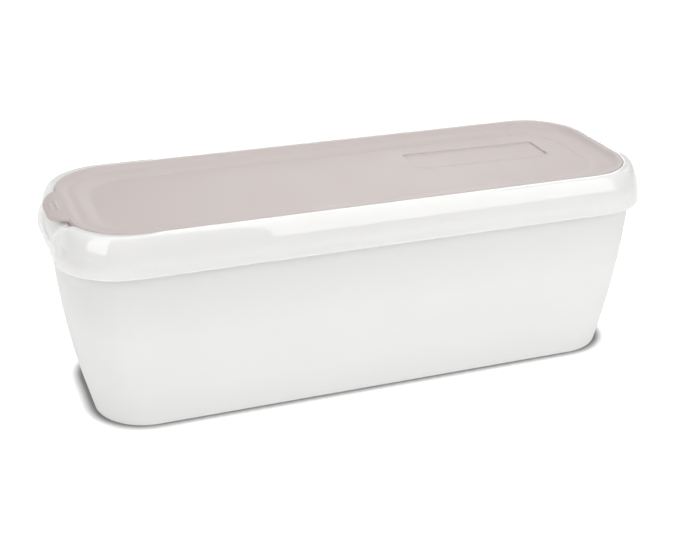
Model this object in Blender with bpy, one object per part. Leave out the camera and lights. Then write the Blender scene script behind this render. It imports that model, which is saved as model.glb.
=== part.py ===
"""Insulated ice cream tub, shut with a press-in lid.

Metres, +Z up. The tub stands on z = 0 with its long side along X, and the lid's pull tab is at the -X end.
"""

import math

import bmesh
import bpy

# The collar is the rim's glossy skirt. Its lower edge is the widest outline of the tub.
COLLAR_LENGTH = 0.360
COLLAR_WIDTH = 0.131
COLLAR_RADIUS = 0.037
COLLAR_LOW = 0.0982
COLLAR_EDGE = 0.0006
FACE_TOP = 0.1155
FACE_LEAN = 0.0026
SHOULDER = 0.0034
LIP_TOP = 0.1210
LIP_INSET = 0.00855
TAB_END_FLARE = 0.002
FLARE_REACH = 0.050

# The finger scoop is cut into the collar under the pull tab.
SCOOP_HALF_WIDTH = 0.038
SCOOP_OUTER_LOW = 0.1045
SCOOP_INNER_LOW = 0.1170
SCOOP_CURVE = 2.5
SCOOP_INNER_X = 0.1680
SCOOP_OUTER_X = 0.1900
SCOOP_CUT_WIDTH = 0.0874
CUTTER_RISE = 0.020

# The body tapers from the collar down to the base.
BODY_TOP = 0.0979
BODY_STEP = 0.0039
BASE_LENGTH = 0.328
BASE_WIDTH = 0.102
BASE_RADIUS = 0.031
BASE_EDGE = 0.0012
END_BULGE = 0.0029
NECK_INSET = 0.0089
GROOVE_INSET = 0.0070
GROOVE_WIDTH = 0.0030
GROOVE_DEPTH = 0.0008

# The lid is one silicone moulding: a bead with a steep inner wall, a band that rolls down, a sunk panel and
# the pull tab. Insets are taken from the lid's own outline.
LID_INSET = 0.00885
LID_RADIUS = 0.034
LID_LOW = 0.1134
LID_EDGE = 0.0006
BEAD_TOP = 0.1212
BEAD_ROUND = 0.0012
BEAD_FLAT_END = 0.0026
WALL_FOOT = 0.0058
BAND_TOP = 0.1190
BAND_CURVE = 2.0
PANEL_LEVEL = 0.1165
PANEL_HALF_X = 0.1525
PANEL_HALF_Y = 0.0405
PANEL_RADIUS = 0.025

TAB_HALF_WIDTH = 0.0235
TAB_LENGTH = 0.0098
TAB_ROOT = 0.0020
TAB_TOP = 0.1209
TAB_THICKNESS = 0.0020
TAB_DROOP = 0.0026
TAB_SQUARENESS = 4.0
RIB_WIDTH = 0.0012
RIB_HEIGHT = 0.0004
RIB_SHOULDER = 0.4
RIB_PLACES = ((0.0030, 0.0150), (0.0062, 0.0100))

LABEL_X = 0.0920
LABEL_Y = 0.0135
LABEL_LENGTH = 0.0895
LABEL_WIDTH = 0.0275
LABEL_RADIUS = 0.005
LABEL_DEPTH = 0.0007

# Pieces that touch keep this gap. The whole tub is centred on its box, flare and all.
CLEARANCE = 0.0003
CENTRE_X = TAB_END_FLARE / 2

CORNER_STEPS = 10
SIDE_STEPS = (6, 4, 12, 4)
LABEL_STEPS = (1, 1, 1, 1)

BODY_COLOUR = (0.86, 0.86, 0.85, 1.0)
COLLAR_COLOUR = (0.88, 0.88, 0.87, 1.0)
LID_COLOUR = (0.62, 0.56, 0.55, 1.0)


def clear_scene():
    for obj in list(bpy.data.objects):
        bpy.data.objects.remove(obj, do_unlink=True)


def make_material(name, colour, roughness):
    material = bpy.data.materials.new(name)
    material.use_nodes = True
    shader = material.node_tree.nodes["Principled BSDF"]
    shader.inputs["Base Color"].default_value = colour
    shader.inputs["Roughness"].default_value = roughness
    shader.inputs["Metallic"].default_value = 0.0
    return material


def outline(half_x, half_y, radius, centre=(CENTRE_X, 0.0), side_steps=SIDE_STEPS):
    """Rounded rectangle, anticlockwise: each corner's arc, then the points along the side after it."""
    arcs = []
    for corner, (sign_x, sign_y) in enumerate(((1, -1), (1, 1), (-1, 1), (-1, -1))):
        middle_x = centre[0] + sign_x * (half_x - radius)
        middle_y = centre[1] + sign_y * (half_y - radius)
        arc = []
        for step in range(CORNER_STEPS + 1):
            angle = math.radians(90 * (corner - 1 + step / CORNER_STEPS))
            arc.append((middle_x + radius * math.cos(angle), middle_y + radius * math.sin(angle)))
        arcs.append(arc)
    points = []
    for corner, arc in enumerate(arcs):
        points += arc
        (x0, y0), (x1, y1) = arc[-1], arcs[(corner + 1) % 4][0]
        for step in range(1, side_steps[corner]):
            part = step / side_steps[corner]
            points.append((x0 + (x1 - x0) * part, y0 + (y1 - y0) * part))
    return points


def level_ring(half_x, half_y, radius, z, **where):
    return [(x, y, z) for x, y in outline(half_x, half_y, radius, **where)]


def add_object(name, bm, material):
    bmesh.ops.recalc_face_normals(bm, faces=bm.faces)
    mesh = bpy.data.meshes.new(name)
    bm.to_mesh(mesh)
    bm.free()
    obj = bpy.data.objects.new(name, mesh)
    bpy.context.scene.collection.objects.link(obj)
    if material:
        mesh.materials.append(material)
    return obj


def loft(name, rings, material, joined=False):
    """Skins rings of equal length. The ends are capped, or joined to each other for a ring-shaped solid."""
    bm = bmesh.new()
    rows = [[bm.verts.new(point) for point in ring] for ring in rings]
    pairs = list(zip(rows, rows[1:]))
    if joined:
        pairs.append((rows[-1], rows[0]))
    else:
        bm.faces.new(list(reversed(rows[0])))
        bm.faces.new(rows[-1])
    count = len(rows[0])
    for low, high in pairs:
        for i in range(count):
            j = (i + 1) % count
            bm.faces.new((low[i], low[j], high[j], high[i]))
    return add_object(name, bm, material)


def slab(name, columns, rows, low, high):
    """Solid between two height fields over one grid. low and high give a point for u and v from 0 to 1."""
    bm = bmesh.new()
    sheets = []
    for place in (low, high):
        sheet = []
        for row in range(rows + 1):
            line = [bm.verts.new(place(column / columns, row / rows)) for column in range(columns + 1)]
            sheet.append(line)
        sheets.append(sheet)
        for row in range(rows):
            for column in range(columns):
                near, far = sheet[row], sheet[row + 1]
                bm.faces.new((near[column], near[column + 1], far[column + 1], far[column]))
    under, over = sheets
    for row in (0, rows):
        for column in range(columns):
            corners = (under[row][column], under[row][column + 1], over[row][column + 1], over[row][column])
            bm.faces.new(corners)
    for column in (0, columns):
        for row in range(rows):
            corners = (under[row][column], under[row + 1][column], over[row + 1][column], over[row][column])
            bm.faces.new(corners)
    return add_object(name, bm, None)


def combine(target, other, operation):
    """Cuts the helper object out of the target, or fuses it on, and hides the helper."""
    modifier = target.modifiers.new(other.name, "BOOLEAN")
    modifier.operation = operation
    modifier.solver = "EXACT"
    modifier.object = other
    other.hide_render = True
    other.display_type = "WIRE"


def shade(obj, angle):
    obj.data.shade_smooth()
    obj.data.set_sharp_from_angle(angle=math.radians(angle))


def body_size(z):
    """Half length, half width and corner radius of the body's outside at this height."""
    part = z / COLLAR_LOW
    top_x = COLLAR_LENGTH / 2 - BODY_STEP
    top_y = COLLAR_WIDTH / 2 - BODY_STEP
    bulge = END_BULGE * 4 * part * (1 - part)
    half_x = BASE_LENGTH / 2 + (top_x - BASE_LENGTH / 2) * part + bulge
    half_y = BASE_WIDTH / 2 + (top_y - BASE_WIDTH / 2) * part
    return half_x, half_y, BASE_RADIUS + (COLLAR_RADIUS - BASE_RADIUS) * part


def make_body(material):
    rings = []

    def add(inset, z):
        half_x, half_y, radius = body_size(z)
        rings.append(level_ring(half_x - inset, half_y - inset, radius - inset, z))

    # The groove's sides slope at 45 degrees.
    groove_inner = GROOVE_INSET + GROOVE_WIDTH
    add(groove_inner, 0)
    add(groove_inner - GROOVE_DEPTH, GROOVE_DEPTH)
    add(GROOVE_INSET + GROOVE_DEPTH, GROOVE_DEPTH)
    add(GROOVE_INSET, 0)
    edge_rows = 3
    for step in range(edge_rows + 1):
        angle = math.pi / 2 * step / edge_rows
        add(BASE_EDGE * (1 - math.sin(angle)), BASE_EDGE * (1 - math.cos(angle)))
    wall_rows = 12
    for row in range(1, wall_rows + 1):
        add(0, BASE_EDGE + (BODY_TOP - BASE_EDGE) * row / wall_rows)
    neck_x = COLLAR_LENGTH / 2 - NECK_INSET
    neck_y = COLLAR_WIDTH / 2 - NECK_INSET
    for z in (BODY_TOP, LID_LOW - CLEARANCE):
        rings.append(level_ring(neck_x, neck_y, LID_RADIUS, z))
    body = loft("tub_body", rings, material)
    shade(body, 35)
    return body


def collar_section():
    """Inset from the collar's lower outline and height, from the inner bottom edge, out and up, to the lip."""
    section = [(LIP_INSET, COLLAR_LOW), (COLLAR_EDGE, COLLAR_LOW)]
    face_low = COLLAR_LOW + COLLAR_EDGE
    face_rows = 5
    for row in range(face_rows + 1):
        part = row / face_rows
        section.append((FACE_LEAN * part ** 2, face_low + (FACE_TOP - face_low) * part))
    shoulder_rows = 5
    for row in range(1, shoulder_rows + 1):
        angle = math.pi / 2 * row / shoulder_rows
        inset = FACE_LEAN + SHOULDER * (1 - math.cos(angle))
        section.append((inset, FACE_TOP + (LIP_TOP - FACE_TOP) * math.sin(angle)))
    section.append((LIP_INSET, LIP_TOP))
    return section


def collar_radius(inset):
    return COLLAR_RADIUS + (LID_RADIUS - COLLAR_RADIUS) * inset / LIP_INSET


def flared(x, inset):
    """The end under the tab stands out a little at the collar's outside."""
    past = max(0.0, -x + CENTRE_X - (COLLAR_LENGTH / 2 - FLARE_REACH)) / FLARE_REACH
    return x - TAB_END_FLARE * min(1.0, past) ** 2 * (1 - inset / LIP_INSET)


def make_collar(material):
    rings = []
    for inset, z in collar_section():
        half_x = COLLAR_LENGTH / 2 - inset
        half_y = COLLAR_WIDTH / 2 - inset
        ring = level_ring(half_x, half_y, collar_radius(inset), z)
        rings.append([(flared(x, inset), y, z) for x, y, z in ring])
    collar = loft("rim_collar", rings, material, joined=True)
    combine(collar, make_scoop(), "DIFFERENCE")
    shade(collar, 30)
    return collar


def scoop_height(x, y):
    """Height of the scoop's ramp: low at the outside, rising to the lip at each side."""
    reach = COLLAR_LENGTH / 2 + TAB_END_FLARE - SCOOP_INNER_X
    out = max(0.0, CENTRE_X - x - SCOOP_INNER_X) / reach
    middle = SCOOP_INNER_LOW - (SCOOP_INNER_LOW - SCOOP_OUTER_LOW) * out ** SCOOP_CURVE
    return middle + (LIP_TOP - middle) * (y / SCOOP_HALF_WIDTH) ** 2


def make_scoop():
    def ramp(u, v):
        x = CENTRE_X - SCOOP_OUTER_X + (SCOOP_OUTER_X - SCOOP_INNER_X) * u
        y = SCOOP_CUT_WIDTH * (v - 0.5)
        return x, y, scoop_height(x, y)

    def top(u, v):
        x, y, _ = ramp(u, v)
        return x, y, LIP_TOP + CUTTER_RISE

    return slab("scoop_cutter", 11, 20, ramp, top)


def make_lid(material):
    outer_x = COLLAR_LENGTH / 2 - LID_INSET
    outer_y = COLLAR_WIDTH / 2 - LID_INSET
    rings = []

    def add(inset, z):
        rings.append(level_ring(outer_x - inset, outer_y - inset, LID_RADIUS - inset, z))

    add(LID_EDGE, LID_LOW)
    add(0, LID_LOW + LID_EDGE)
    bead_rows = 4
    for row in range(bead_rows + 1):
        angle = math.pi / 2 * row / bead_rows
        add(BEAD_ROUND * (1 - math.cos(angle)), BEAD_TOP - BEAD_ROUND * (1 - math.sin(angle)))
    wall_rows = 6
    for row in range(wall_rows + 1):
        part = row / wall_rows
        drop = (1 - math.cos(math.pi * part)) / 2
        add(BEAD_FLAT_END + (WALL_FOOT - BEAD_FLAT_END) * part, BEAD_TOP + (BAND_TOP - BEAD_TOP) * drop)
    band_rows = 6
    foot_x, foot_y, foot_radius = outer_x - WALL_FOOT, outer_y - WALL_FOOT, LID_RADIUS - WALL_FOOT
    for row in range(1, band_rows + 1):
        part = row / band_rows
        half_x = foot_x + (PANEL_HALF_X - foot_x) * part
        half_y = foot_y + (PANEL_HALF_Y - foot_y) * part
        radius = foot_radius + (PANEL_RADIUS - foot_radius) * part
        z = PANEL_LEVEL + (BAND_TOP - PANEL_LEVEL) * (1 - part ** BAND_CURVE)
        rings.append(level_ring(half_x, half_y, radius, z))
    lid = loft("lid", rings, material)
    combine(lid, make_label_cutter(), "DIFFERENCE")
    combine(lid, make_tab(), "UNION")
    for distance, length in RIB_PLACES:
        combine(lid, make_rib(distance, length), "UNION")
    shade(lid, 30)
    return lid


def make_label_cutter():
    where = {"centre": (LABEL_X + CENTRE_X, LABEL_Y), "side_steps": LABEL_STEPS}
    half_x, half_y = LABEL_LENGTH / 2, LABEL_WIDTH / 2
    floor = PANEL_LEVEL - LABEL_DEPTH
    narrow = LABEL_DEPTH
    rings = [
        level_ring(half_x - narrow, half_y - narrow, LABEL_RADIUS - narrow, floor, **where),
        level_ring(half_x, half_y, LABEL_RADIUS, PANEL_LEVEL, **where),
        level_ring(half_x, half_y, LABEL_RADIUS, PANEL_LEVEL + CUTTER_RISE, **where),
    ]
    return loft("label_cutter", rings, None)


def lid_end_x():
    return CENTRE_X - (COLLAR_LENGTH / 2 - LID_INSET)


def tab_level(x):
    """Height of the tab's top, which droops towards its tip."""
    out = max(0.0, lid_end_x() - x) / TAB_LENGTH
    return TAB_TOP - TAB_DROOP * out ** 2


def make_tab():
    def upper(u, v):
        y = TAB_HALF_WIDTH * (2 * v - 1)
        reach = TAB_LENGTH * (1 - abs(y / TAB_HALF_WIDTH) ** TAB_SQUARENESS)
        x = lid_end_x() + TAB_ROOT - (TAB_ROOT + reach) * u
        return x, y, tab_level(x)

    def lower(u, v):
        x, y, z = upper(u, v)
        return x, y, z - TAB_THICKNESS

    return slab("tab_solid", 6, 24, lower, upper)


def make_rib(distance, length):
    """Grip rib across the tab, sunk half its width so that it fuses with the tab's top."""
    x_middle = lid_end_x() - distance
    z_middle = tab_level(x_middle)

    def upper(u, v):
        x = x_middle + RIB_WIDTH * (u - 0.5)
        crown = 1 - (1 - RIB_SHOULDER) * (2 * u - 1) ** 2
        return x, length * (v - 0.5), z_middle + RIB_HEIGHT * crown

    def lower(u, v):
        x, y, _ = upper(u, v)
        return x, y, z_middle - RIB_WIDTH / 2

    return slab("rib_solid", 4, 2, lower, upper)


def main():
    clear_scene()
    make_body(make_material("body_plastic", BODY_COLOUR, 0.45))
    make_collar(make_material("collar_plastic", COLLAR_COLOUR, 0.15))
    make_lid(make_material("lid_silicone", LID_COLOUR, 0.55))


main()
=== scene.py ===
"""Home ice cream tub with a pressed-in silicone lid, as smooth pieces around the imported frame."""

import math

import bmesh
import bpy
import numpy as np
from bpy.props import FloatProperty, FloatVectorProperty, PointerProperty
from mathutils import Matrix, Vector


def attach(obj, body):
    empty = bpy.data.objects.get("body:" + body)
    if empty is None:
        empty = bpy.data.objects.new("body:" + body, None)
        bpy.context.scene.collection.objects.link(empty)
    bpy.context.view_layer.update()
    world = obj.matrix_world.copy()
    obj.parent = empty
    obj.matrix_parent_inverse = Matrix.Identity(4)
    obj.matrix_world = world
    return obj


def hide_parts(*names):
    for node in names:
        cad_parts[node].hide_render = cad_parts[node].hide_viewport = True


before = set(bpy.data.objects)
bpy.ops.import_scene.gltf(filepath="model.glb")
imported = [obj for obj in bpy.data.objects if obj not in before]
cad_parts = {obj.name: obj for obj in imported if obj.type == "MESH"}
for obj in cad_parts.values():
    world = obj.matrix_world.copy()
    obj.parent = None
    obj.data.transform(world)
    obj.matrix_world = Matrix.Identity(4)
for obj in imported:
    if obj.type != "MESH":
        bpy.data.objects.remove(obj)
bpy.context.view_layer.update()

bl_info = {
    "name": "Ice Cream Tub",
    "version": (1, 0, 0),
    "blender": (4, 5, 0),
    "location": "3D View > Sidebar > Tub",
    "description": "Builds a long ice cream tub with a glossy rim collar and a silicone lid",
    "category": "Object",
}

# The part's own sizes, in metres. The whole tub is centred on its box, and the tab's end stands out more.
COLLAR_LENGTH = 0.360
COLLAR_WIDTH = 0.131
COLLAR_RADIUS = 0.037
COLLAR_LOW = 0.0982
LIP_TOP = 0.1210
LIP_INSET = 0.0087
TAB_END_FLARE = 0.002
FLARE_REACH = 0.050
CENTRE_X = TAB_END_FLARE / 2
BODY_STEP = 0.0039
LID_INSET = 0.00885
LID_RADIUS = 0.034
LID_LOW = 0.1134
PANEL_LEVEL = 0.1165

# How finely every ring is divided: each corner's arc, then the right, back, tab end and front sides.
CORNER_STEPS = 32
SIDE_STEPS = (24, 60, 90, 60)
CORNER_SIGNS = ((1, -1), (1, 1), (-1, 1), (-1, -1))


def ring(half_x, half_y, radius, centre=(CENTRE_X, 0.0)):
    """Rounded rectangle, anticlockwise from the front right corner, as rows of x and y.

    radius is one number, or one for each corner in that order.
    """
    radii = [radius] * 4 if np.isscalar(radius) else radius
    arcs = []
    for corner, (sign_x, sign_y) in enumerate(CORNER_SIGNS):
        angle = np.radians(90 * (corner - 1) + 90 * np.linspace(0, 1, CORNER_STEPS + 1))
        middle_x = centre[0] + sign_x * (half_x - radii[corner])
        middle_y = centre[1] + sign_y * (half_y - radii[corner])
        x = middle_x + radii[corner] * np.cos(angle)
        y = middle_y + radii[corner] * np.sin(angle)
        arcs.append(np.column_stack((x, y)))
    parts = []
    for corner, arc in enumerate(arcs):
        ahead = arcs[(corner + 1) % 4][0] - arc[-1]
        steps = np.linspace(0, 1, SIDE_STEPS[corner] + 1)[1:-1, None]
        parts += [arc, arc[-1] + ahead * steps]
    return np.vstack(parts)


def round_ring(radius, like):
    """Circle round the ring's middle, with its points spread as the ring's own length is."""
    ahead = np.roll(like, -1, axis=0) - like
    length = np.linalg.norm(ahead, axis=1)
    share = np.concatenate(([0.0], np.cumsum(length)[:-1])) / length.sum()
    middle = (like.min(0) + like.max(0)) / 2
    start = math.atan2(like[0][1] - middle[1], like[0][0] - middle[0])
    angle = start + 2 * np.pi * share
    return middle + radius * np.column_stack((np.cos(angle), np.sin(angle)))


def level(points, z):
    return np.column_stack((points, np.full(len(points), z)))


def between(first, second, steps):
    """The rings between two rings, the second one included."""
    return [first + (second - first) * step / steps for step in range(1, steps + 1)]


def quarter_turn(steps):
    """The angles of a rounded edge in this many steps, from nothing to a quarter turn."""
    return [math.pi / 2 * step / steps for step in range(steps + 1)]


def soft_min(a, b, width):
    """The lower of two heights, with the corner between them rounded over this width."""
    near = np.maximum(width - np.abs(a - b), 0) / width
    return np.minimum(a, b) - near * near * width / 4


def soft_step(value, low, high):
    part = np.clip((value - low) / (high - low), 0, 1)
    return part * part * (3 - 2 * part)


def skin(name, rings, material, joined=False, sharp=50):
    """Smooth mesh over rings of equal length. Its ends are closed, or joined to each other."""
    rings = np.asarray(rings)
    rows, count = rings.shape[:2]
    index = np.arange(rows * count).reshape(rows, count)
    high = np.roll(index, -1, axis=0)
    low = index
    if not joined:
        low, high = index[:-1], high[:-1]
    quads = np.stack((low, np.roll(low, -1, 1), np.roll(high, -1, 1), high), -1).reshape(-1, 4)
    faces = quads.tolist()
    if not joined:
        faces.append(index[0][::-1].tolist())
        faces.append(index[-1].tolist())
    mesh = bpy.data.meshes.new(name)
    mesh.from_pydata(rings.reshape(-1, 3).tolist(), [], faces)
    work = bmesh.new()
    work.from_mesh(mesh)
    bmesh.ops.recalc_face_normals(work, faces=work.faces)
    work.to_mesh(mesh)
    work.free()
    mesh.shade_smooth()
    mesh.set_sharp_from_angle(angle=math.radians(sharp))
    mesh.materials.append(material)
    piece = bpy.data.objects.new(name, mesh)
    bpy.context.scene.collection.objects.link(piece)
    return piece


def edge_arc(middle, radius, start, stop, steps):
    """Points of a section's rounded edge, angles in degrees."""
    angle = np.radians(np.linspace(start, stop, steps + 1))
    return np.column_stack((middle[0] + radius * np.cos(angle), middle[1] + radius * np.sin(angle)))


class TubBodySettings(bpy.types.PropertyGroup):
    base_length: FloatProperty(
        name="Base Length", description="Length of the tub's base", default=0.328, unit="LENGTH"
    )
    base_width: FloatProperty(
        name="Base Width", description="Width of the tub's base", default=0.102, unit="LENGTH"
    )
    base_radius: FloatProperty(
        name="Base Corner", description="Corner radius of the base", default=0.031, unit="LENGTH"
    )
    end_bulge: FloatProperty(
        name="End Bulge",
        description="How far the ends bow out half way up",
        default=0.0029,
        unit="LENGTH",
    )
    colour: FloatVectorProperty(
        name="Body Colour",
        description="Milky white of the body",
        default=(0.80, 0.80, 0.79, 1.0),
        size=4,
        subtype="COLOR",
    )
    roughness: FloatProperty(
        name="Body Roughness", description="Satin finish of the body", default=0.40, subtype="FACTOR"
    )


class CollarSettings(bpy.types.PropertyGroup):
    face_lean: FloatProperty(
        name="Face Lean",
        description="How far the collar's face leans in from its lower edge to the shoulder",
        default=0.0026,
        unit="LENGTH",
    )
    wall: FloatProperty(
        name="Skirt Wall", description="Thickness of the skirt", default=0.0018, unit="LENGTH"
    )
    scoop_half_width: FloatProperty(
        name="Scoop Half Width",
        description="Half the width of the finger scoop under the tab",
        default=0.0350,
        unit="LENGTH",
    )
    colour: FloatVectorProperty(
        name="Collar Colour",
        description="Glossy white of the rim",
        default=(0.785, 0.782, 0.772, 1.0),
        size=4,
        subtype="COLOR",
    )
    roughness: FloatProperty(
        name="Collar Roughness", description="Gloss of the rim", default=0.02, subtype="FACTOR"
    )


class LidSettings(bpy.types.PropertyGroup):
    bead_top: FloatProperty(
        name="Bead Top", description="Height of the lid's edge bead", default=0.1212, unit="LENGTH"
    )
    band_top: FloatProperty(
        name="Band Top", description="Height of the band inside the bead", default=0.1187, unit="LENGTH"
    )
    panel_half_x: FloatProperty(
        name="Panel Half Length", description="Half the sunk panel's length", default=0.1525, unit="LENGTH"
    )
    panel_half_y: FloatProperty(
        name="Panel Half Width", description="Half the sunk panel's width", default=0.0405, unit="LENGTH"
    )
    label_depth: FloatProperty(
        name="Label Depth", description="Depth of the sunk label place", default=0.0012, unit="LENGTH"
    )
    tab_length: FloatProperty(
        name="Tab Length", description="How far the pull tab stands out", default=0.0098, unit="LENGTH"
    )
    tab_half_width: FloatProperty(
        name="Tab Half Width", description="Half the pull tab's width", default=0.0235, unit="LENGTH"
    )
    tab_droop: FloatProperty(
        name="Tab Droop", description="How far the tab's tip hangs down", default=0.0026, unit="LENGTH"
    )
    colour: FloatVectorProperty(
        name="Lid Colour",
        description="Warm grey of the silicone",
        default=(0.511, 0.455, 0.440, 1.0),
        size=4,
        subtype="COLOR",
    )
    roughness: FloatProperty(
        name="Lid Roughness", description="Matte finish of the silicone", default=0.55, subtype="FACTOR"
    )


class StudioSettings(bpy.types.PropertyGroup):
    room_light: FloatProperty(
        name="Room Light", description="Brightness of the white room all round", default=0.28
    )
    front_light: FloatProperty(
        name="Front Light", description="Brightness of the tall soft box in front", default=2.3
    )
    window_light: FloatProperty(
        name="Window Light", description="Brightness of the window on the left", default=2.85
    )
    top_light: FloatProperty(
        name="Top Light", description="Brightness of the soft box overhead", default=1.9
    )
    back_light: FloatProperty(
        name="Back Light",
        description="Brightness of the soft box behind, which sheens the lid",
        default=1.85,
    )
    board_light: FloatProperty(
        name="Board Light", description="Brightness of the low white board behind on the left", default=0.5
    )
    floor_light: FloatProperty(
        name="Floor Light", description="Glow of the white lit table", default=0.09
    )


class Nodes:
    """Short hand for laying out the nodes of one tree."""

    def __init__(self, tree):
        self.tree = tree

    def add(self, kind, **settings):
        node = self.tree.nodes.new(kind)
        for key, value in settings.items():
            setattr(node, key, value)
        return node

    def link(self, source, target):
        self.tree.links.new(source, target)

    def feed(self, node, socket, value):
        if isinstance(value, bpy.types.NodeSocket):
            self.link(value, node.inputs[socket])
        else:
            node.inputs[socket].default_value = value

    def noise(self, where, scale, detail=3.0, roughness=0.5):
        node = self.add("ShaderNodeTexNoise")
        self.feed(node, "Vector", where)
        self.feed(node, "Scale", scale)
        self.feed(node, "Detail", detail)
        self.feed(node, "Roughness", roughness)
        return node.outputs["Fac"]

    def spread(self, value, low, high, to_low=0.0, to_high=1.0):
        """Maps a value from one span to another, held at the ends."""
        node = self.add("ShaderNodeMapRange", clamp=True)
        for socket, number in zip(
            ("Value", "From Min", "From Max", "To Min", "To Max"), (value, low, high, to_low, to_high)
        ):
            self.feed(node, socket, number)
        return node.outputs["Result"]

    def math(self, operation, first, second):
        node = self.add("ShaderNodeMath", operation=operation)
        self.feed(node, 0, first)
        self.feed(node, 1, second)
        return node.outputs[0]

    def mix(self, factor, first, second):
        node = self.add("ShaderNodeMix", data_type="RGBA")
        self.feed(node, "Factor", factor)
        colours = [socket for socket in node.inputs if socket.type == "RGBA"]
        for socket, value in zip(colours, (first, second)):
            if isinstance(value, bpy.types.NodeSocket):
                self.link(value, socket)
            else:
                socket.default_value = value
        return next(socket for socket in node.outputs if socket.type == "RGBA")

    def stretched(self, where, scale):
        node = self.add("ShaderNodeMapping")
        self.feed(node, "Vector", where)
        node.inputs["Scale"].default_value = scale
        return node.outputs["Vector"]


def new_group(name, inputs, outputs):
    """Empty shader group. inputs and outputs are (name, kind, value)."""
    group = bpy.data.node_groups.new(name, "ShaderNodeTree")
    kinds = {"number": "NodeSocketFloat", "colour": "NodeSocketColor", "vector": "NodeSocketVector"}
    for direction, sockets in (("INPUT", inputs), ("OUTPUT", outputs)):
        for label, kind, value in sockets:
            socket = group.interface.new_socket(name=label, in_out=direction, socket_type=kinds[kind])
            if value is not None:
                socket.default_value = value
    nodes = Nodes(group)
    return group, nodes, nodes.add("NodeGroupInput").outputs, nodes.add("NodeGroupOutput")


# Noise values between which the finishes change: cloudy colour, gloss, scuffs, specks and their patches.
CLOUD_EDGE = (0.35, 0.65)
GLOSS_EDGE = (0.1, 0.9)
SCUFF_EDGE = (0.64, 0.74)
SCUFF_PATCH_EDGE = (0.48, 0.62)
SPECK_EDGE = (0.05, 0.11)
SPECK_PATCH_EDGE = (0.60, 0.66)
SCUFF_PATCH_SCALE = 14.0
SPECK_PATCH_SCALE = 90.0
# Scuffs run along the tub, because their noise is stretched that way.
SCUFF_STRETCH = (0.12, 1.0, 1.0)


def moulded_finish_group():
    """Cloudy colour, patchy gloss and fine grain of a moulded surface, in the tub's own coordinates."""
    name = "moulded_finish"
    if name in bpy.data.node_groups:
        return bpy.data.node_groups[name]
    group, nodes, given, out = new_group(
        name,
        (
            ("Colour", "colour", (0.8, 0.8, 0.8, 1.0)),
            ("Cloud Colour", "colour", (0.75, 0.75, 0.75, 1.0)),
            ("Cloud Scale", "number", 22.0),
            ("Low Roughness", "number", 0.3),
            ("High Roughness", "number", 0.4),
            ("Grain Scale", "number", 2600.0),
            ("Ripple Scale", "number", 60.0),
            ("Ripple Height", "number", 0.2),
        ),
        (("Colour", "colour", None), ("Roughness", "number", None), ("Height", "number", None)),
    )
    where = nodes.add("ShaderNodeTexCoord").outputs["Object"]
    cloudy = nodes.noise(where, given["Cloud Scale"], detail=4.0, roughness=0.55)
    cloud = nodes.spread(cloudy, *CLOUD_EDGE)
    grain = nodes.noise(where, given["Grain Scale"], detail=2.0, roughness=0.6)
    ripple = nodes.noise(where, given["Ripple Scale"], detail=1.0, roughness=0.4)
    nodes.link(nodes.mix(cloud, given["Colour"], given["Cloud Colour"]), out.inputs["Colour"])
    patch = nodes.math("ADD", nodes.math("MULTIPLY", cloud, 0.6), nodes.math("MULTIPLY", grain, 0.4))
    gloss = nodes.spread(patch, *GLOSS_EDGE, given["Low Roughness"], given["High Roughness"])
    nodes.link(gloss, out.inputs["Roughness"])
    height = nodes.math("ADD", grain, nodes.math("MULTIPLY", ripple, given["Ripple Height"]))
    nodes.link(height, out.inputs["Height"])
    return group


def handling_wear_group():
    """Thin scuffs and small specks from washing up and use."""
    name = "handling_wear"
    if name in bpy.data.node_groups:
        return bpy.data.node_groups[name]
    group, nodes, given, out = new_group(
        name,
        (("Scuff Scale", "number", 240.0), ("Speck Scale", "number", 700.0), ("Amount", "number", 0.5)),
        (("Scuffs", "number", None), ("Specks", "number", None)),
    )
    where = nodes.add("ShaderNodeTexCoord").outputs["Object"]
    long_way = nodes.stretched(where, SCUFF_STRETCH)
    streaky = nodes.noise(long_way, given["Scuff Scale"], detail=3.0, roughness=0.7)
    streak = nodes.spread(streaky, *SCUFF_EDGE)
    patch = nodes.spread(nodes.noise(where, SCUFF_PATCH_SCALE, detail=2.0), *SCUFF_PATCH_EDGE)
    scuffs = nodes.math("MULTIPLY", nodes.math("MULTIPLY", streak, patch), given["Amount"])
    nodes.link(scuffs, out.inputs["Scuffs"])
    cells = nodes.add("ShaderNodeTexVoronoi", feature="F1")
    nodes.link(where, cells.inputs["Vector"])
    nodes.link(given["Speck Scale"], cells.inputs["Scale"])
    dots = nodes.spread(cells.outputs["Distance"], *SPECK_EDGE, to_low=1.0, to_high=0.0)
    some = nodes.spread(nodes.noise(where, SPECK_PATCH_SCALE, detail=1.0), *SPECK_PATCH_EDGE)
    specks = nodes.math("MULTIPLY", nodes.math("MULTIPLY", dots, some), given["Amount"])
    nodes.link(specks, out.inputs["Specks"])
    return group


# How much rougher than its setting a finish gets in places, and how scuffs dull and scratch it.
ROUGHER_BY = 0.05
SCUFF_ROUGHNESS = 0.15
SCUFF_DEPTH = 0.5


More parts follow.
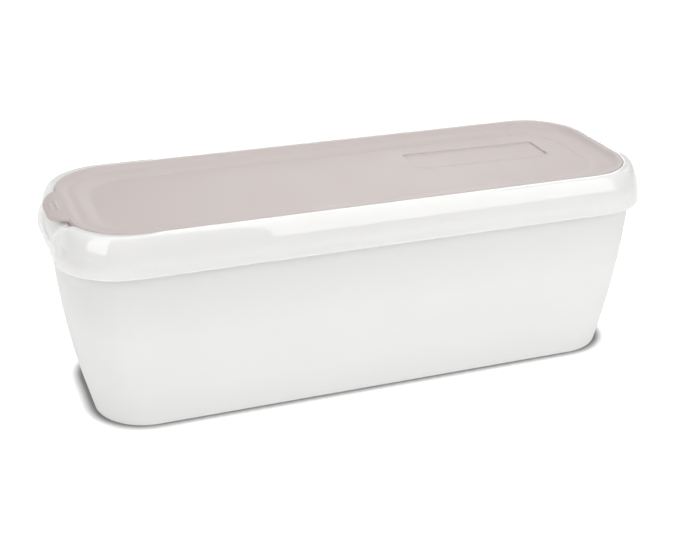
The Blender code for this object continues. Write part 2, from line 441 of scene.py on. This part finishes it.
def finish_material(name, colour, cloud_colour, roughness, values, bump, wear, scuff_colour, speck_colour):
    """Material with both groups. values, bump and wear set the groups for this finish."""
    material = bpy.data.materials.new(name)
    material.use_nodes = True
    nodes = Nodes(material.node_tree)
    shader = material.node_tree.nodes["Principled BSDF"]
    base = nodes.add("ShaderNodeGroup", node_tree=moulded_finish_group())
    marks = nodes.add("ShaderNodeGroup", node_tree=handling_wear_group())
    base.inputs["Colour"].default_value = colour
    base.inputs["Cloud Colour"].default_value = cloud_colour
    base.inputs["Low Roughness"].default_value = roughness - values.pop("spread")
    base.inputs["High Roughness"].default_value = roughness + ROUGHER_BY
    for socket, value in values.items():
        base.inputs[socket].default_value = value
    for socket, value in wear.items():
        marks.inputs[socket].default_value = value
    scuffs = marks.outputs["Scuffs"]
    scuffed = nodes.mix(scuffs, base.outputs["Colour"], scuff_colour)
    painted = nodes.mix(marks.outputs["Specks"], scuffed, speck_colour)
    nodes.link(painted, shader.inputs["Base Color"])
    dulling = nodes.math("MULTIPLY", scuffs, SCUFF_ROUGHNESS)
    nodes.link(nodes.math("ADD", base.outputs["Roughness"], dulling), shader.inputs["Roughness"])
    relief = nodes.add("ShaderNodeBump")
    relief.inputs["Strength"].default_value = bump["strength"]
    relief.inputs["Distance"].default_value = bump["distance"]
    scratches = nodes.math("MULTIPLY", scuffs, SCUFF_DEPTH)
    nodes.link(nodes.math("SUBTRACT", base.outputs["Height"], scratches), relief.inputs["Height"])
    nodes.link(relief.outputs["Normal"], shader.inputs["Normal"])
    return material, shader


def tinted(colour, red, green, blue):
    return (colour[0] * red, colour[1] * green, colour[2] * blue, 1.0)


def paint_shade_by_height(material, shader, shade, spans):
    """Paints shade: mixes a darker tone into the colour over spans of height, each (from, to, share)."""
    nodes = Nodes(material.node_tree)
    split = nodes.add("ShaderNodeSeparateXYZ")
    nodes.link(nodes.add("ShaderNodeTexCoord").outputs["Object"], split.inputs["Vector"])
    parts = [nodes.spread(split.outputs["Z"], start, stop, 0.0, share) for start, stop, share in spans]
    painted = shader.inputs["Base Color"].links[0].from_socket
    nodes.link(nodes.mix(nodes.math("ADD", *parts), painted, shade), shader.inputs["Base Color"])


# Spans of height where shade is painted into the body's colour: from, to, and how much of the darker tone
# at the end.
BODY_PAINTED_SHADE_SPANS = ((0.056, 0.088, 0.55), (0.022, 0.003, 0.2))


def body_plastic(settings):
    colour = tuple(settings.colour)
    material, shader = finish_material(
        "body_plastic",
        colour,
        tinted(colour, 0.985, 0.985, 0.98),
        settings.roughness,
        {"spread": 0.05, "Cloud Scale": 14.0, "Grain Scale": 2400.0, "Ripple Height": 0.5},
        {"strength": 0.10, "distance": 0.0003},
        {"Amount": 0.35},
        tinted(colour, 1.06, 1.06, 1.06),
        tinted(colour, 0.90, 0.89, 0.87),
    )
    # Painted shade: the colour darkens under the collar's overhang, where its shadow falls, and a little
    # near the base.
    paint_shade_by_height(material, shader, tinted(colour, 0.86, 0.86, 0.855), BODY_PAINTED_SHADE_SPANS)
    shader.inputs["IOR"].default_value = 1.49
    return material


def collar_plastic(settings):
    colour = tuple(settings.colour)
    material, shader = finish_material(
        "collar_plastic",
        colour,
        tinted(colour, 0.99, 0.99, 0.985),
        settings.roughness,
        {
            "spread": 0.01,
            "High Roughness": settings.roughness + 0.015,
            "Cloud Scale": 18.0,
            "Grain Scale": 500.0,
            "Ripple Scale": 90.0,
            "Ripple Height": 1.5,
        },
        {"strength": 0.005, "distance": 0.0003},
        {"Amount": 0.20, "Scuff Scale": 420.0},
        tinted(colour, 0.97, 0.97, 0.97),
        tinted(colour, 0.92, 0.91, 0.90),
    )
    shader.inputs["IOR"].default_value = 1.56
    shader.inputs["Subsurface Weight"].default_value = 0.75
    shader.inputs["Subsurface Radius"].default_value = (1.0, 0.92, 0.88)
    shader.inputs["Subsurface Scale"].default_value = 0.006
    return material


def lid_silicone(settings):
    return silicone("lid_silicone_skin", tuple(settings.colour), settings)


def lid_rim_painted_shade_silicone(settings):
    """Copy of the lid's silicone with painted shade: the darker, redder tone that its pressed-in rim shows
    in the shaded slit beside the tab.
    """
    return silicone("lid_silicone_rim", tinted(settings.colour, 1.35, 0.68, 0.70), settings)


def silicone(name, colour, settings):
    if name in bpy.data.materials:
        return bpy.data.materials[name]
    material, shader = finish_material(
        name,
        colour,
        tinted(colour, 1.03, 1.03, 1.04),
        settings.roughness,
        {
            "spread": 0.10,
            "Cloud Scale": 30.0,
            "Grain Scale": 1700.0,
            "Ripple Scale": 45.0,
            "Ripple Height": 1.0,
        },
        {"strength": 0.16, "distance": 0.0003},
        {"Amount": 0.55, "Speck Scale": 520.0},
        tinted(colour, 1.06, 1.06, 1.07),
        tinted(colour, 1.22, 1.24, 1.26),
    )
    shader.inputs["IOR"].default_value = 1.42
    return material


def body_size(z, settings):
    """Half length, half width and corner radius of the body's outside at this height."""
    part = z / COLLAR_LOW
    top_x = COLLAR_LENGTH / 2 - BODY_STEP
    top_y = COLLAR_WIDTH / 2 - BODY_STEP
    low_x, low_y = settings.base_length / 2, settings.base_width / 2
    half_x = low_x + (top_x - low_x) * part + settings.end_bulge * 4 * part * (1 - part)
    half_y = low_y + (top_y - low_y) * part
    return half_x, half_y, settings.base_radius + (COLLAR_RADIUS - settings.base_radius) * part


BASE_EDGE = 0.0005
GROOVE_INSET = 0.0070
GROOVE_WIDTH = 0.0030
GROOVE_DEPTH = 0.0008
GATE_RADIUS = 0.0075
GATE_FLAT_RADIUS = 0.0050
GATE_DEPTH = 0.0005
# Radius and height of the nub's rings in the gate's dimple, from its tip outwards.
GATE_NUB = ((0.0004, 0.0003), (0.0009, 0.00034), (0.0012, GATE_DEPTH))
WALL_TOP = 0.1006
NECK_INSET = 0.0089
NECK_FILLET = 0.0010
NECK_TOP = LID_LOW - 0.0003


def build_body(settings):
    rings = []

    def add(inset, z):
        half_x, half_y, radius = body_size(z, settings)
        rings.append(level(ring(half_x - inset, half_y - inset, radius - inset), z))

    def foot(inset):
        half_x, half_y, radius = body_size(0, settings)
        return ring(half_x - inset, half_y - inset, radius - inset)

    # The moulding gate leaves a shallow round dimple with a small nub in the middle of the base.
    inner = foot(GROOVE_INSET + GROOVE_WIDTH)
    for radius, z in (*GATE_NUB, (GATE_FLAT_RADIUS, GATE_DEPTH)):
        rings.append(level(round_ring(radius, inner), z))
    gate_rows = 8
    for row in range(1, gate_rows + 1):
        part = row / gate_rows
        radius = GATE_FLAT_RADIUS + (GATE_RADIUS - GATE_FLAT_RADIUS) * part
        rings.append(level(round_ring(radius, inner), GATE_DEPTH * (1 + math.cos(math.pi * part)) / 2))
    for points in between(round_ring(GATE_RADIUS, inner), inner, 6):
        rings.append(level(points, 0.0))
    groove_rows = 12
    for row in range(1, groove_rows + 1):
        part = row / groove_rows
        depth = GROOVE_DEPTH * (1 - math.cos(2 * math.pi * part)) / 2
        rings.append(level(foot(GROOVE_INSET + GROOVE_WIDTH * (1 - part)), depth))
    for angle in quarter_turn(8):
        add(BASE_EDGE * (1 - math.sin(angle)), BASE_EDGE * (1 - math.cos(angle)))
    for z in np.linspace(BASE_EDGE, WALL_TOP, 29)[1:]:
        add(0, z)
    # Behind the collar's skirt the wall turns in to the neck that the rim sits on.
    for angle in quarter_turn(6)[1:]:
        add(NECK_FILLET * (1 - math.cos(angle)), WALL_TOP + NECK_FILLET * math.sin(angle))
    neck = ring(COLLAR_LENGTH / 2 - NECK_INSET, COLLAR_WIDTH / 2 - NECK_INSET, LID_RADIUS)
    for z in (WALL_TOP + NECK_FILLET, NECK_TOP):
        rings.append(level(neck, z))
    return skin("tub_shell", rings, body_plastic(settings), sharp=40)


FLARE_HALF_WIDTH = 0.028
FLARE_FADE = 0.0012


def collar_radius(inset):
    return COLLAR_RADIUS + (LID_RADIUS - COLLAR_RADIUS) * inset / LIP_INSET


def collar_ring(inset):
    """The collar's outline at this inset, with the end under the tab standing out at the outside.

    Higher up the face only the end's middle stands out.
    """
    points = ring(COLLAR_LENGTH / 2 - inset, COLLAR_WIDTH / 2 - inset, collar_radius(inset))
    past = (CENTRE_X - points[:, 0] - (COLLAR_LENGTH / 2 - FLARE_REACH)) / FLARE_REACH
    aside = np.clip(np.abs(points[:, 1]) / FLARE_HALF_WIDTH, 0, 1) ** 2
    share = (1 - inset / LIP_INSET) * (1 - aside * min(inset / FLARE_FADE, 1.0))
    points[:, 0] -= TAB_END_FLARE * np.clip(past, 0, 1) ** 2 * share
    return points


SCOOP_OUTER_LOW = 0.1050
SCOOP_INNER_LOW = 0.1183
SCOOP_INNER_X = 0.1690
SCOOP_OUTER_X = 0.1805
SCOOP_CURVE = 2.4
SCOOP_DISH = 4.0
SCOOP_RIDGE = 2.8
SCOOP_ROUND = 0.0010
SCOOP_ROUND_MIDDLE = 0.0060
# Shares of the scoop's half width between which its outer edge turns from broad to crisp.
SCOOP_CRISP = (0.25, 0.65)
SLIT_PLACE = 0.0255
SLIT_HALF = 0.0052
SLIT_DEPTH = 0.0021
SLIT_FADE = 3


def scoop_height(x, y, half_width):
    """Height of the finger scoop's ramp: low at the outside, rising to the lip at each side.

    Close under the tab it is a shallow dish, and it rolls over to a rounder notch at the outside.
    Beside each side of the tab it dips to a short slit, where the lid's rim shows.
    """
    out = np.clip((CENTRE_X - x - SCOOP_INNER_X) / (SCOOP_OUTER_X - SCOOP_INNER_X), 0, 1)
    middle = SCOOP_INNER_LOW - (SCOOP_INNER_LOW - SCOOP_OUTER_LOW) * out ** SCOOP_CURVE
    power = SCOOP_DISH + (SCOOP_RIDGE - SCOOP_DISH) * out
    across = np.clip(1 - ((np.abs(y) - SLIT_PLACE) / SLIT_HALF) ** 2, 0, 1)
    slit = across * np.clip(1 - SLIT_FADE * out, 0, 1)
    return middle + (LIP_TOP - middle) * np.abs(y / half_width) ** power - SLIT_DEPTH * slit


def scoop_round(y, half_width):
    """How widely the scoop's outer edge is rounded: broad in its middle and crisp up its sides."""
    crisp = soft_step(np.abs(y) / half_width, *SCOOP_CRISP)
    return SCOOP_ROUND_MIDDLE + (SCOOP_ROUND - SCOOP_ROUND_MIDDLE) * crisp


LEDGE = 0.1022
LEDGE_FILLET = 0.0008
SKIRT_EDGE = 0.0006
FACE_TOP = 0.1155
LIP_START = 0.0060
LIP_EDGE = 0.0004
FACE_ROWS = 56


def collar_outside(settings):
    """Inset and height from the skirt's bottom edge up the face, over the shoulder and along the lip."""
    low = COLLAR_LOW + SKIRT_EDGE
    u = np.linspace(0, 1, 60)
    face = np.column_stack((settings.face_lean * u ** 2, low + (FACE_TOP - low) * u))
    lean = 2 * settings.face_lean / (FACE_TOP - low)
    start = np.array((settings.face_lean, FACE_TOP))
    bend = np.array((settings.face_lean + lean * (LIP_TOP - FACE_TOP), LIP_TOP))
    stop = np.array((LIP_START, LIP_TOP))
    t = np.linspace(0, 1, 60)[1:, None]
    shoulder = (1 - t) ** 2 * start + 2 * t * (1 - t) * bend + t ** 2 * stop
    inset = np.linspace(LIP_START, LIP_INSET - LIP_EDGE, 24)[1:]
    lip = np.column_stack((inset, np.full(len(inset), LIP_TOP)))
    return np.vstack((face, shoulder, lip))


def evenly_spaced(line, rows):
    """Resamples every column of an array of (rows, columns, 3) to this many rows along its length."""
    length = np.linalg.norm(np.diff(line, axis=0), axis=2)
    run = np.vstack((np.zeros(line.shape[1]), np.cumsum(length, axis=0)))
    made = np.empty((rows, line.shape[1], 3))
    for column in range(line.shape[1]):
        places = np.linspace(0, run[-1, column], rows)
        for axis in range(3):
            made[:, column, axis] = np.interp(places, run[:, column], line[:, column, axis])
    return made


def build_collar(settings):
    wall = settings.wall
    skirt_low = COLLAR_LOW + SKIRT_EDGE
    hidden = np.vstack((
        [(LIP_INSET, LEDGE)],
        edge_arc((wall + LEDGE_FILLET, LEDGE - LEDGE_FILLET), LEDGE_FILLET, 90, 180, 5),
        edge_arc((wall - SKIRT_EDGE, skirt_low), SKIRT_EDGE, 0, -90, 6),
        edge_arc((SKIRT_EDGE, skirt_low), SKIRT_EDGE, -90, -180, 6)[:-1],
    ))
    rows = [level(collar_ring(inset), z) for inset, z in hidden]
    outside = []
    for inset, z in collar_outside(settings):
        points = collar_ring(inset)
        cut = scoop_height(points[:, 0], points[:, 1], settings.scoop_half_width)
        cut = np.where(points[:, 0] < 0, cut, LIP_TOP + 0.01)
        width = scoop_round(points[:, 1], settings.scoop_half_width)
        outside.append(np.column_stack((points, soft_min(z, cut, width))))
    outside = evenly_spaced(np.array(outside), FACE_ROWS)
    rows += list(outside)
    top = outside[-1][:, 2]
    for angle in quarter_turn(5)[1:]:
        points = collar_ring(LIP_INSET - LIP_EDGE * (1 - math.sin(angle)))
        rows.append(np.column_stack((points, top - LIP_EDGE * (1 - math.cos(angle)))))
    return skin("collar_shell", rows, collar_plastic(settings), joined=True, sharp=50)


LID_EDGE = 0.0006
BEAD_ROUND = 0.0005
BEAD_FLAT_END = 0.0029
BEAD_INNER_ROUND = 0.0004
WALL_FOOT = 0.0095
WALL_CURVE = 2.8
BAND_CURVE = 2.2
CREASE = 0.0004
SOFT_CREASE_START = 0.115
SOFT_CREASE_END = 0.155
LABEL_CENTRE = (0.0930, 0.0135)
LABEL_HALF = (0.04475, 0.0138)
LABEL_RADII = (0.005, 0.0018, 0.0018, 0.008)
LABEL_TURN = math.radians(-1.8)
LABEL_EDGE = 0.0005
LABEL_RIM_WIDTH = 0.0016
LABEL_RIM_HEIGHT = 0.0004
LABEL_LEAST_RADIUS = 0.0004
LABEL_WALL = 0.0001
LABEL_MIDDLE = 0.0134
PANEL_RADIUS = 0.025
# The pressed-in rim is the first rows of faces, up to this height, in a darker, redder tone of painted
# shade, as it shows deep in the slit beside the tab.
RIM_PAINTED_SHADE_ROWS = 5
RIM_TOP = 0.1195
# Over this span of x the inner wall gets deeper and straighter, towards the end without a tab.
FAR_END = (0.120, 0.162)
FAR_END_DROP = 0.0009
FAR_END_CURVE = 1.8
FAR_END_BAND_CURVE = 3.8


def label_ring(inset):
    """The sunk label place's outline, turned a little as it lies in the lid."""
    radii = [max(radius - inset, LABEL_LEAST_RADIUS) for radius in LABEL_RADII]
    points = ring(LABEL_HALF[0] - inset, LABEL_HALF[1] - inset, radii, (0.0, 0.0))
    cosine, sine = math.cos(LABEL_TURN), math.sin(LABEL_TURN)
    x = LABEL_CENTRE[0] + points[:, 0] * cosine - points[:, 1] * sine
    y = LABEL_CENTRE[1] + points[:, 0] * sine + points[:, 1] * cosine
    return np.column_stack((x, y))


def label_rim(points):
    """How far the label place's edge stands up: only along its front side."""
    forward = LABEL_CENTRE[1] - points[:, 1]
    return LABEL_RIM_HEIGHT * soft_step(forward, 0.2 * LABEL_HALF[1], 0.8 * LABEL_HALF[1])


def build_lid(settings):
    outer_x = COLLAR_LENGTH / 2 - LID_INSET
    outer_y = COLLAR_WIDTH / 2 - LID_INSET
    rings = []

    def add(inset, z):
        rings.append(level(ring(outer_x - inset, outer_y - inset, LID_RADIUS - inset), z))

    top = settings.bead_top
    for angle in quarter_turn(4):
        add(LID_EDGE * (1 - math.sin(angle)), LID_LOW + LID_EDGE * (1 - math.cos(angle)))
    add(0.0, RIM_TOP)
    for angle in quarter_turn(8):
        add(BEAD_ROUND * (1 - math.cos(angle)), top - BEAD_ROUND * (1 - math.sin(angle)))
    wall_rows = 26
    for row in range(1, wall_rows + 1):
        inset = BEAD_ROUND + (WALL_FOOT - BEAD_ROUND) * row / wall_rows
        points = ring(outer_x - inset, outer_y - inset, LID_RADIUS - inset)
        far_end = soft_step(points[:, 0], *FAR_END)
        low = settings.band_top - FAR_END_DROP * far_end
        part = (WALL_FOOT - inset) / (WALL_FOOT - BEAD_FLAT_END)
        wall = low + (top - low) * part ** (WALL_CURVE + (FAR_END_CURVE - WALL_CURVE) * far_end)
        rings.append(np.column_stack((points, soft_min(top, wall, BEAD_INNER_ROUND))))
    foot_x, foot_y, foot_radius = outer_x - WALL_FOOT, outer_y - WALL_FOOT, LID_RADIUS - WALL_FOOT
    band_rows = 20
    for row in range(1, band_rows + 1):
        part = row / band_rows
        half_x = foot_x + (settings.panel_half_x - foot_x) * part
        half_y = foot_y + (settings.panel_half_y - foot_y) * part
        points = ring(half_x, half_y, foot_radius + (PANEL_RADIUS - foot_radius) * part)
        # The crease is crisp all round but at the tab's end, where the band runs out softly.
        soft = soft_step(-points[:, 0], SOFT_CREASE_START, SOFT_CREASE_END)
        far_end = soft_step(points[:, 0], *FAR_END)
        drop = (1 - part ** (BAND_CURVE + (FAR_END_BAND_CURVE - BAND_CURVE) * far_end)) ** (1 + soft)
        low = settings.band_top - FAR_END_DROP * far_end
        rings.append(np.column_stack((points, PANEL_LEVEL + (low - PANEL_LEVEL) * drop)))
    panel = ring(settings.panel_half_x - CREASE, settings.panel_half_y - CREASE, PANEL_RADIUS - CREASE)
    rings.append(level(panel, PANEL_LEVEL))
    for points in between(panel, label_ring(-LABEL_EDGE - LABEL_RIM_WIDTH), 8):
        rings.append(level(points, PANEL_LEVEL))
    label_rows = 8
    for row in range(1, label_rows + 1):
        part = row / label_rows
        points = label_ring(-LABEL_EDGE - LABEL_RIM_WIDTH * (1 - part))
        rise = label_rim(points) * float(soft_step(part, 0, 1))
        rings.append(np.column_stack((points, PANEL_LEVEL + rise)))
    floor = PANEL_LEVEL - settings.label_depth
    for angle in quarter_turn(5)[1:]:
        points = label_ring(-LABEL_EDGE + LABEL_EDGE * math.sin(angle))
        z = PANEL_LEVEL + label_rim(points) - LABEL_EDGE * (1 - math.cos(angle))
        rings.append(np.column_stack((points, z)))
    for angle in quarter_turn(4):
        inset = LABEL_EDGE * (1 - math.cos(angle)) + LABEL_WALL
        rings.append(level(label_ring(inset), floor + LABEL_EDGE * (1 - math.sin(angle))))
    for points in between(label_ring(LABEL_EDGE + LABEL_WALL), label_ring(LABEL_MIDDLE), 4):
        rings.append(level(points, floor))
    lid = skin("lid_skin", rings, lid_silicone(settings), sharp=60)
    # Painted shade: the rim's faces take the darker, redder copy of the silicone.
    lid.data.materials.append(lid_rim_painted_shade_silicone(settings))
    for face in lid.data.polygons[:RIM_PAINTED_SHADE_ROWS * len(rings[0])]:
        face.material_index = 1
    return lid


TAB_ROOT = 0.0015
TAB_TOP = 0.12115
TAB_THICKNESS = 0.0020
TAB_SPAN = 0.031
TAB_BLEND = 0.0015
TAB_NOSE = 0.0010
TAB_SINK = 0.0006
TAB_SINK_REACH = 0.003
# Each grip rib's distance from the lid's end, and its length.
RIBS = ((0.0030, 0.0150), (0.0062, 0.0100))
RIB_WIDTH = 0.0024
RIB_HEIGHT = 0.0006
RIB_CREST = -0.25


def build_tab(settings):
    lid_end = CENTRE_X - (COLLAR_LENGTH / 2 - LID_INSET)
    side = COLLAR_WIDTH / 2 - LID_INSET - LID_RADIUS
    sections = []
    for y in np.linspace(-TAB_SPAN, TAB_SPAN, 97):
        past = max(0.0, abs(y) - side)
        base = lid_end + LID_RADIUS - math.sqrt(LID_RADIUS ** 2 - past ** 2)
        plain = settings.tab_length * (1 - abs(y / settings.tab_half_width) ** 4)
        reach = (plain + math.sqrt(plain ** 2 + TAB_BLEND ** 2)) / 2
        sink = TAB_SINK * (1 - float(soft_step(reach, 0.0, TAB_SINK_REACH)))
        tip = min(TAB_NOSE, 0.4 * (reach + TAB_ROOT))
        half = TAB_THICKNESS / 2

        def top_height(x):
            out = np.maximum(0.0, lid_end - x) / settings.tab_length
            return TAB_TOP - sink - settings.tab_droop * out ** 2

        upper = np.linspace(base + TAB_ROOT, base - reach + tip, 64)
        raised = top_height(upper)
        for distance, length in RIBS:
            across = (upper - lid_end + distance) / RIB_WIDTH
            near = soft_step(across, -0.5, RIB_CREST) * (1 - soft_step(across, RIB_CREST, 0.5))
            along = 1 - float(soft_step(abs(y), length / 2 - 0.0008, length / 2 + 0.0004))
            raised = raised + RIB_HEIGHT * near * along
        angle = np.radians(np.linspace(90, 270, 13))[1:-1]
        nose_x = base - reach + tip + tip * np.cos(angle)
        nose_z = top_height(nose_x) - half + half * np.sin(angle)
        lower = upper[::-2]
        under = top_height(lower) - TAB_THICKNESS
        x = np.concatenate((upper, nose_x, lower))
        z = np.concatenate((raised, nose_z, under))
        sections.append(np.column_stack((x, np.full(len(x), y), z)))
    return skin("pull_tab", sections, lid_silicone(settings), sharp=60)


CAMERA_PLACE = (-0.2631, -0.6885, 0.3847)
CAMERA_TURN = 0.36056
CAMERA_PITCH = 0.41768
CAMERA_ROLL = 0.00942
CAMERA_LENS = 68.685


def build_camera():
    lens = bpy.data.cameras.new("photo_camera")
    lens.sensor_width = 36.0
    lens.lens = CAMERA_LENS
    lens.clip_start = 0.01
    camera = bpy.data.objects.new("photo_camera", lens)
    turn = Matrix.Rotation(-CAMERA_TURN, 4, "Z") @ Matrix.Rotation(math.pi / 2 - CAMERA_PITCH, 4, "X")
    camera.matrix_world = Matrix.Translation(CAMERA_PLACE) @ turn @ Matrix.Rotation(CAMERA_ROLL, 4, "Z")
    bpy.context.scene.collection.objects.link(camera)
    bpy.context.scene.camera = camera


WHITE = (1.0, 1.0, 1.0, 1.0)
BLACK = (0.0, 0.0, 0.0, 1.0)
FLOOR_HALF = 4.0
CONTACT_REACH = 0.0085
CONTACT_SPAN = (0.50, 0.97)
CONTACT_PAINTED_SHADOW = (0.26, 0.26, 0.26, 1.0)
FLOOR_WHITE = (0.94, 0.94, 0.94, 1.0)
FLOOR_GLOW_SEEN = 0.40


def build_floor(settings):
    """White lit table with a painted contact shadow: it looks darker only where the tub's foot comes close
    to it.

    The glow that is seen is brighter than the glow that lights the tub, so the table reads as plain white.
    """
    mesh = bpy.data.meshes.new("studio_floor")
    corners = [(x * FLOOR_HALF, y * FLOOR_HALF, 0) for x, y in ((-1, -1), (1, -1), (1, 1), (-1, 1))]
    mesh.from_pydata(corners, [], [(0, 1, 2, 3)])
    material = bpy.data.materials.new("studio_floor")
    material.use_nodes = True
    nodes = Nodes(material.node_tree)
    shader = material.node_tree.nodes["Principled BSDF"]
    # Painted contact shadow: near the tub's foot the table's colour and its glow darken with ambient
    # occlusion.
    near = nodes.add("ShaderNodeAmbientOcclusion", samples=16)
    near.inputs["Distance"].default_value = CONTACT_REACH
    open_share = nodes.spread(near.outputs["AO"], *CONTACT_SPAN)
    seen = nodes.add("ShaderNodeLightPath").outputs["Is Camera Ray"]
    painted_shadow = nodes.mix(open_share, CONTACT_PAINTED_SHADOW, FLOOR_WHITE)
    nodes.link(nodes.mix(seen, FLOOR_WHITE, painted_shadow), shader.inputs["Base Color"])
    shadow_dimmed_glow = nodes.mix(open_share, BLACK, WHITE)
    nodes.link(nodes.mix(seen, WHITE, shadow_dimmed_glow), shader.inputs["Emission Color"])
    glow = nodes.spread(seen, 0.0, 1.0, settings.floor_light, FLOOR_GLOW_SEEN)
    nodes.link(glow, shader.inputs["Emission Strength"])
    shader.inputs["Roughness"].default_value = 0.9
    shader.inputs["Specular IOR Level"].default_value = 0.1
    mesh.materials.append(material)
    floor = bpy.data.objects.new("studio_floor", mesh)
    bpy.context.scene.collection.objects.link(floor)


def soft_box(name, place, aim, width, height, brightness):
    """Rectangular lamp that faces along aim. brightness is what its surface shows, with white as 1."""
    light = bpy.data.lights.new(name, "AREA")
    light.shape = "RECTANGLE"
    light.size = width
    light.size_y = height
    light.energy = brightness * math.pi * width * height
    box = bpy.data.objects.new(name, light)
    box.visible_camera = False
    box.location = place
    box.rotation_euler = Vector(aim).to_track_quat("-Z", "Y").to_euler()
    bpy.context.scene.collection.objects.link(box)


ROOM_SEEN = 0.82
# Each lamp's name, place, the way that it faces, its width and height, and the setting for its brightness.
SOFT_BOXES = (
    ("front_box", (0.5235, -0.8525, 1.06), (-0.545, 0.839, 0.0), (0.724, 1.74), "front_light"),
    ("window_box", (-1.22, -0.62, 0.99), (0.883, 0.469, 0.0), (0.83, 1.32), "window_light"),
    ("top_box", (0.0, 0.1, 1.8), (0.0, 0.0, -1.0), (1.8, 1.4), "top_light"),
    ("back_box", (0.60, 1.38, 1.05), (-0.40, -0.917, 0.0), (0.85, 1.85), "back_light"),
    ("white_board", (-0.75, 1.35, 0.30), (0.49, -0.87, 0.0), (1.4, 0.6), "board_light"),
)


def build_studio(settings):
    world = bpy.data.worlds.new("studio_room")
    world.use_nodes = True
    nodes = Nodes(world.node_tree)
    back = world.node_tree.nodes["Background"]
    back.inputs["Color"].default_value = WHITE
    # Past the table's edge the room is seen pale, while it lights the tub more softly.
    seen = nodes.add("ShaderNodeLightPath").outputs["Is Camera Ray"]
    nodes.link(nodes.spread(seen, 0.0, 1.0, settings.room_light, ROOM_SEEN), back.inputs["Strength"])
    bpy.context.scene.world = world
    for name, place, aim, size, setting in SOFT_BOXES:
        soft_box(name, place, aim, *size, getattr(settings, setting))
    bpy.context.scene.view_settings.view_transform = "Standard"


def stand_for(piece, node):
    """The piece rides on the tub and stands for its CAD node, which is hidden."""
    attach(piece, "root")
    if node:
        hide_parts(node)


class TUB_OT_body(bpy.types.Operator):
    """Build the tub's tapering body with its base groove and neck"""

    bl_idname = "tub.build_body"
    bl_label = "Build Body"

    def execute(self, context):
        stand_for(build_body(context.scene.tub_body_settings), "tub_body")
        return {"FINISHED"}


class TUB_OT_collar(bpy.types.Operator):
    """Build the glossy rim collar with its finger scoop"""

    bl_idname = "tub.build_collar"
    bl_label = "Build Collar"

    def execute(self, context):
        stand_for(build_collar(context.scene.tub_collar_settings), "rim_collar")
        return {"FINISHED"}


class TUB_OT_lid(bpy.types.Operator):
    """Build the silicone lid and its pull tab"""

    bl_idname = "tub.build_lid"
    bl_label = "Build Lid"

    def execute(self, context):
        settings = context.scene.tub_lid_settings
        stand_for(build_lid(settings), "lid")
        stand_for(build_tab(settings), None)
        return {"FINISHED"}


class TUB_OT_stage(bpy.types.Operator):
    """Build the pale floor, the soft light and the camera"""

    bl_idname = "tub.build_stage"
    bl_label = "Build Stage"

    def execute(self, context):
        build_floor(context.scene.tub_studio_settings)
        build_studio(context.scene.tub_studio_settings)
        build_camera()
        return {"FINISHED"}


class TUB_PT_panel(bpy.types.Panel):
    bl_idname = "TUB_PT_panel"
    bl_label = "Ice Cream Tub"
    bl_space_type = "VIEW_3D"
    bl_region_type = "UI"
    bl_category = "Tub"

    def draw(self, context):
        for name in SETTINGS:
            group = getattr(context.scene, name)
            box = self.layout.box()
            for key in group.bl_rna.properties.keys():
                if key not in ("rna_type", "name"):
                    box.prop(group, key)
        for operator in OPERATORS:
            self.layout.operator(operator.bl_idname)


OPERATORS = (TUB_OT_body, TUB_OT_collar, TUB_OT_lid, TUB_OT_stage)
SETTINGS = {
    "tub_body_settings": TubBodySettings,
    "tub_collar_settings": CollarSettings,
    "tub_lid_settings": LidSettings,
    "tub_studio_settings": StudioSettings,
}


def register():
    for kind in (*SETTINGS.values(), *OPERATORS, TUB_PT_panel):
        bpy.utils.register_class(kind)
    for name, kind in SETTINGS.items():
        setattr(bpy.types.Scene, name, PointerProperty(type=kind))


def unregister():
    for name in SETTINGS:
        delattr(bpy.types.Scene, name)
    for kind in (TUB_PT_panel, *reversed(OPERATORS), *SETTINGS.values()):
        bpy.utils.unregister_class(kind)


def main():
    register()
    bpy.ops.tub.build_body()
    bpy.ops.tub.build_collar()
    bpy.ops.tub.build_lid()
    bpy.ops.tub.build_stage()


if __name__ == "__main__":
    main()
